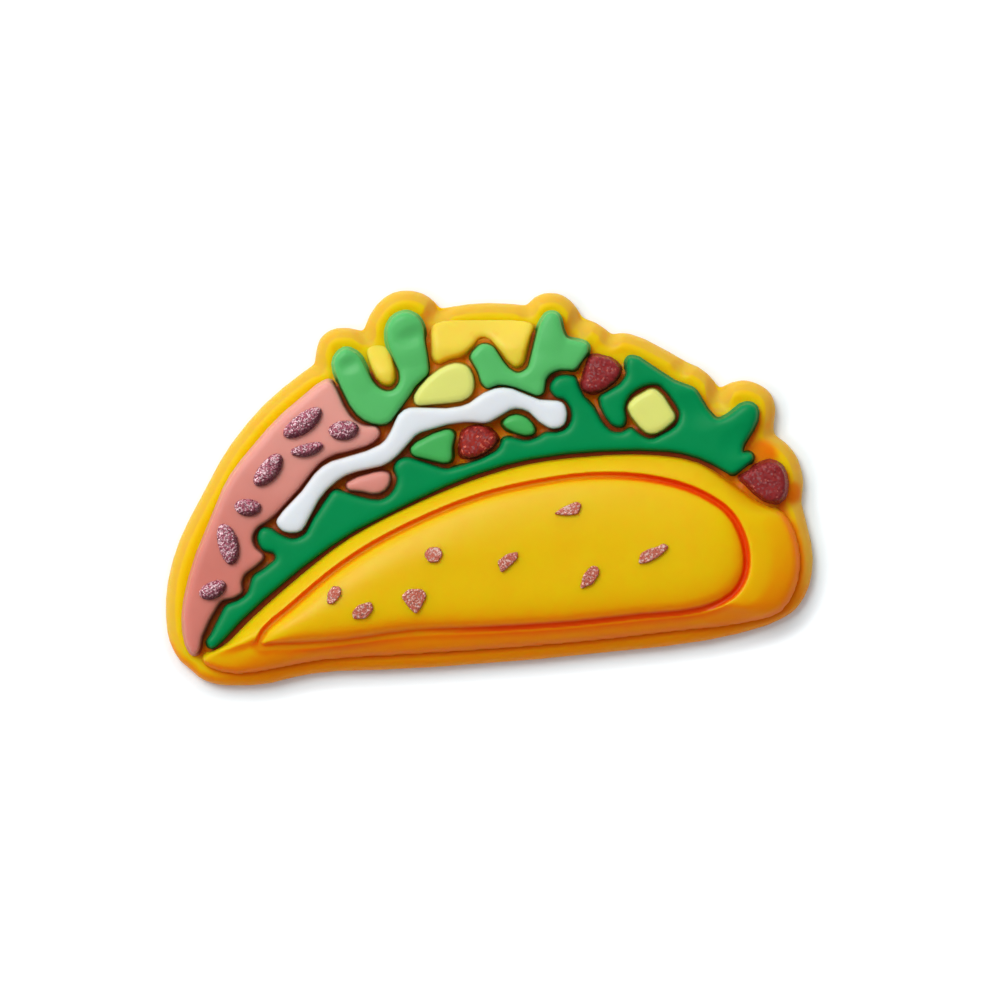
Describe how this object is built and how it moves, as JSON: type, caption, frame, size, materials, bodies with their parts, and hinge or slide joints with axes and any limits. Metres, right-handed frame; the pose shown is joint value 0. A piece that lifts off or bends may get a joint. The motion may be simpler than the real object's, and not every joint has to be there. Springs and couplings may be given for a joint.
{
  "type": "moulded taco charm",
  "caption": "Flat-backed soft plastic charm shaped like a filled taco, with a raised shell, lettuce, cream, beans and tomato inside a scalloped yellow rim.",
  "frame": {"origin": "centre of the footprint, on the flat back", "axes": "+X towards the round end of the shell, +Y towards the tips of the lettuce, +Z out of the shown face"},
  "size_m": [0.039, 0.0238, 0.0041],
  "materials": {
    "yellow_plastic": "satin",
    "pink_plastic": "satin",
    "dark_green_plastic": "satin",
    "light_green_plastic": "satin",
    "white_plastic": "satin",
    "pale_yellow_plastic": "satin",
    "red_glitter": "glittered satin",
    "maroon_glitter": "glittered satin",
    "rose_glitter": "glittered satin"
  },
  "bodies": {
    "root": {"backing_plate": "yellow_plastic", "shell_front": "yellow_plastic", "filling": "pink_plastic", "filling_chunk": "pink_plastic", "bean_1": "maroon_glitter", "bean_2": "maroon_glitter", "bean_3": "maroon_glitter", "bean_4": "maroon_glitter", "bean_5": "maroon_glitter", "bean_6": "maroon_glitter", "bean_7": "maroon_glitter", "lettuce_dark": "dark_green_plastic", "lettuce_light_left": "light_green_plastic", "lettuce_light_right": "light_green_plastic", "cheese_wide": "yellow_plastic", "cheese_tongue": "yellow_plastic", "cream": "white_plastic", "yellow_chunk_1": "pale_yellow_plastic", "yellow_chunk_2": "pale_yellow_plastic", "green_chunk_1": "light_green_plastic", "green_chunk_2": "light_green_plastic", "tomato_1": "red_glitter", "tomato_2": "red_glitter", "tomato_3": "red_glitter"}
  },
  "joints": []
}
